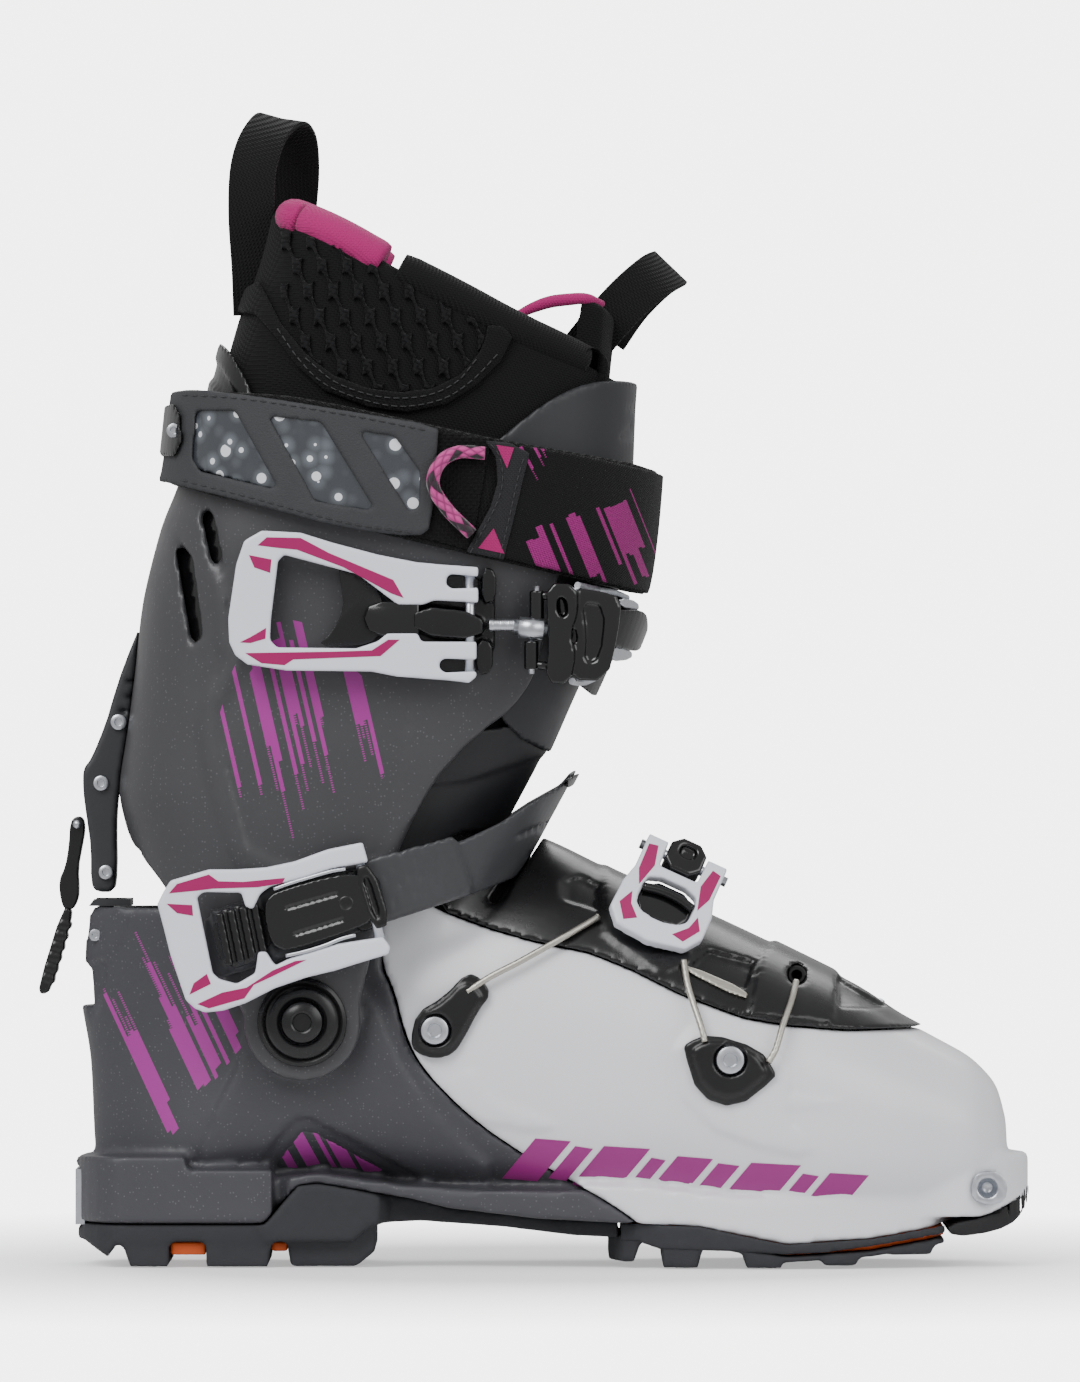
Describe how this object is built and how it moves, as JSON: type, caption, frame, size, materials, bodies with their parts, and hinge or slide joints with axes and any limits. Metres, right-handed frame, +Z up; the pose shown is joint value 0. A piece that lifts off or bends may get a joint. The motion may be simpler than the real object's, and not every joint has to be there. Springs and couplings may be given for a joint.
{
  "type": "alpine touring boot",
  "caption": "Ski touring boot with hinged cuff, walk lever, three buckles, power strap, pin binding inserts and lugged rubber sole.",
  "frame": {"origin": "middle of the boot's footprint box, on the ground under the lugs", "axes": "+X to the toe, +Z up, -Y to the outer side with the buckles"},
  "size_m": [0.299, 0.1252, 0.3467],
  "materials": {
    "white_plastic": "satin gloss, faint flecks",
    "graphite_plastic": "satin, fine grain",
    "grey_plastic": "satin, fine grain",
    "black_plastic": "satin black",
    "sole_rubber": "matt moulded rubber",
    "orange_core": "matt",
    "steel": "brushed",
    "cable_steel": "stranded cable",
    "webbing": "woven webbing",
    "pink_cord": "braided cord",
    "liner_fabric": "soft textile over foam",
    "shield_plastic": "soft moulded plastic"
  },
  "bodies": {
    "shell": {"heel_ledge": "graphite_plastic", "toe_shell": "white_plastic", "heel_frame": "graphite_plastic", "boot_board": "black_plastic", "footbed": "liner_fabric", "instep_flap": "black_plastic", "liner_foot": "liner_fabric", "heel_sole": "sole_rubber", "sole_core": "orange_core", "fore_sole": "sole_rubber", "toe_bumper": "sole_rubber", "toe_insert": "steel", "heel_insert": "steel", "rear_lock_plate": "grey_plastic", "pivot_bolt_outer": "steel", "pivot_bolt_inner": "steel", "rear_cable_anchor_outer": "white_plastic", "rear_anchor_screw_outer": "steel", "rear_cable_anchor_inner": "white_plastic", "rear_anchor_screw_inner": "steel", "front_cable_anchor_outer": "white_plastic", "front_anchor_screw_outer": "steel", "front_cable_anchor_inner": "white_plastic", "front_anchor_screw_inner": "steel", "rear_cable": "cable_steel", "front_cable_rear_leg": "cable_steel", "front_cable_front_leg": "cable_steel", "cable_grommet": "steel", "bellows": "black_plastic", "liner_ankle": "liner_fabric", "ankle_ladder_strap": "graphite_plastic", "ankle_buckle_base": "black_plastic", "instep_buckle_base": "black_plastic"},
    "cuff": {"cuff_shell": "grey_plastic", "pivot_ring_outer": "graphite_plastic", "pivot_ring_inner": "graphite_plastic", "cuff_tongue": "graphite_plastic", "cuff_spoiler": "black_plastic", "liner_cuff": "liner_fabric", "rear_pull_loop": "webbing", "front_pull_loop": "webbing", "power_strap": "webbing", "strap_shield": "shield_plastic", "finger_loop": "pink_cord", "lock_bar": "grey_plastic", "lock_screw_top": "steel", "lock_screw_middle": "steel", "lock_screw_low": "steel", "upper_buckle_base": "black_plastic"},
    "walk_lever": {"walk_lever": "black_plastic", "walk_pull_tab": "black_plastic"},
    "upper_lever": {"upper_buckle_lever": "white_plastic"},
    "upper_link": {"upper_rod": "steel", "catch_frame": "black_plastic", "catch_wire_upper": "steel", "catch_wire_lower": "steel", "catch_hook": "black_plastic"},
    "ankle_lever": {"ankle_buckle_lever": "white_plastic"},
    "ratchet": {"ratchet_cover": "black_plastic"},
    "instep_lever": {"instep_buckle_lever": "white_plastic"}
  },
  "joints": [
    {"name": "cuff_hinge", "type": "hinge", "parent": "shell", "child": "cuff", "pos_m": [-0.0692, 0.00139, 0.0737], "axis": [0, 1, 0], "range_deg": [-15, 10], "deforming": ["bellows", "liner_ankle"]},
    {"name": "walk_lever_hinge", "type": "hinge", "parent": "cuff", "child": "walk_lever", "pos_m": [-0.1379, 0.00139, 0.1325], "axis": [0, 1, 0], "range_deg": [0, 80]},
    {"name": "upper_lever_hinge", "type": "hinge", "parent": "cuff", "child": "upper_lever", "pos_m": [-0.019, -0.05661, 0.1925], "axis": [0, 0, 1], "range_deg": [0, 100]},
    {"name": "upper_link_hinge", "type": "hinge", "parent": "cuff", "child": "upper_link", "pos_m": [-0.019, -0.05661, 0.1925], "axis": [0, 0, 1], "range_deg": [-25, 0]},
    {"name": "ankle_lever_hinge", "type": "hinge", "parent": "shell", "child": "ankle_lever", "pos_m": [-0.0488, -0.05446, 0.1099], "axis": [-0.2545, 0, 0.9671], "range_deg": [0, 95]},
    {"name": "ratchet_hinge", "type": "hinge", "parent": "shell", "child": "ratchet", "pos_m": [-0.0541, -0.05396, 0.1094], "axis": [-0.2144, 0, 0.9767], "range_deg": [0, 20]},
    {"name": "instep_lever_hinge", "type": "hinge", "parent": "shell", "child": "instep_lever", "pos_m": [0.04498, -0.02621, 0.12105], "axis": [-0.909, 0, 0.4169], "range_deg": [0, 95]}
  ],
  "couplings": [
    {"joint": "upper_link_hinge", "follows": "upper_lever_hinge", "ratio": -0.25}
  ]
}
